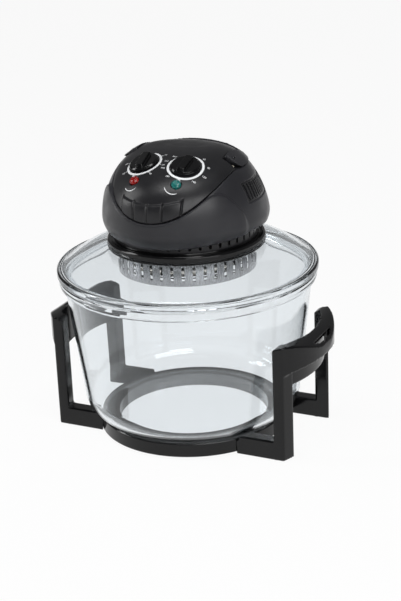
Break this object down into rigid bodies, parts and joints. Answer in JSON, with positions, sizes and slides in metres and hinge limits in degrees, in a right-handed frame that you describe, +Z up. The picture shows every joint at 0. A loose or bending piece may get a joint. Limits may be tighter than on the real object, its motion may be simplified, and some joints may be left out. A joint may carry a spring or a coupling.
{
  "type": "halogen_oven",
  "caption": "Countertop halogen oven: clear glass bowl on a black ring stand with two looped side handles, glass lid with a domed black heater and fan head, dials, lamps and carry handle",
  "frame": {"origin": "on the floor under the centre of the bowl, at the bottom of the rubber feet", "axes": "+Z up along the axis of the bowl, -Y to the front where the dials are, +X to the object's right side frame as seen from the front"},
  "size_m": [0.378, 0.331, 0.37],
  "materials": {
    "black_gloss": "gloss moulded",
    "black_satin": "satin, fine grain",
    "grey_satin": "satin, fine grain",
    "clear_glass": "clear, polished",
    "quartz": "clear quartz tube",
    "red_lens": "translucent, faceted",
    "green_lens": "translucent, faceted",
    "steel": "brushed round the axis",
    "zinc": "bright zinc plate",
    "aluminium": "pressed sheet",
    "brass": "turned",
    "ceramic": "cream ceramic and moulded insulator",
    "rubber": "matte rubber"
  },
  "bodies": {
    "stand": {"base_ring": "black_gloss", "left_side_frame": "black_gloss", "right_side_frame": "black_gloss", "rubber_feet": "rubber", "frame_screws": "zinc"},
    "bowl": {"glass_bowl": "clear_glass"},
    "lid": {"glass_lid": "clear_glass", "upper_gasket": "rubber", "retainer_ring": "steel", "retainer_screws": "zinc", "lid_flange": "black_gloss", "neck_ring": "black_satin", "lower_housing": "grey_satin", "top_cover": "black_satin", "left_vent_grille": "black_satin", "right_vent_grille": "black_satin", "housing_screws": "zinc", "handle_pivot_pins": "zinc", "switch_body": "ceramic", "timer_unit": "zinc", "thermostat_unit": "ceramic", "power_lens": "red_lens", "heat_lens": "green_lens", "lamp_holders": "ceramic", "motor_plate": "zinc", "motor_case": "zinc", "motor_bushes": "brass", "motor_screws": "zinc", "insulation_disc": "ceramic", "reflector_plate": "steel", "reflector_pillars": "zinc", "halogen_tube": "quartz", "tube_end_caps": "ceramic", "tube_clips": "steel", "guard_cylinder": "steel", "guard_screws": "zinc", "bottom_grille": "steel", "thermal_cutout": "ceramic", "terminal_block": "ceramic", "cord_gland": "rubber"},
    "handle": {"carry_handle": "grey_satin"},
    "plunger": {"switch_plunger": "ceramic"},
    "timer": {"timer_shaft": "zinc", "timer_knob": "black_gloss"},
    "temperature": {"thermostat_shaft": "zinc", "temperature_knob": "black_gloss"},
    "rotor": {"motor_shaft": "steel", "cooling_fan": "black_satin", "convection_fan": "aluminium", "fan_nut": "brass"}
  },
  "joints": [
    {"name": "bowl_lift", "type": "slide", "parent": "stand", "child": "bowl", "axis": [0, 0, 1], "range_m": [0, 0.16]},
    {"name": "lid_lift", "type": "slide", "parent": "bowl", "child": "lid", "axis": [0, 0, 1], "range_m": [0, 0.15]},
    {"name": "handle_swing", "type": "hinge", "parent": "lid", "child": "handle", "pos_m": [0, -0.001, 0.3581], "axis": [1, 0, 0], "range_deg": [0, 90]},
    {"name": "plunger_rise", "type": "slide", "parent": "lid", "child": "plunger", "axis": [0, 0, 1], "range_m": [0, 0.0018]},
    {"name": "timer_turn", "type": "hinge", "parent": "lid", "child": "timer", "pos_m": [-0.028, -0.05, 0.3581], "axis": [-0.1299, -0.3584, 0.9245], "range_deg": [-300, 0]},
    {"name": "temperature_turn", "type": "hinge", "parent": "lid", "child": "temperature", "pos_m": [0.028, -0.05, 0.3581], "axis": [0.1299, -0.3584, 0.9245], "range_deg": [-270, 0]},
    {"name": "fan_spin", "type": "hinge", "parent": "lid", "child": "rotor", "pos_m": [0, 0, 0.27], "axis": [0, 0, 1], "continuous": true}
  ],
  "couplings": [
    {"joint": "plunger_rise", "follows": "handle_swing", "m_per_rad": 0.0011459}
  ]
}
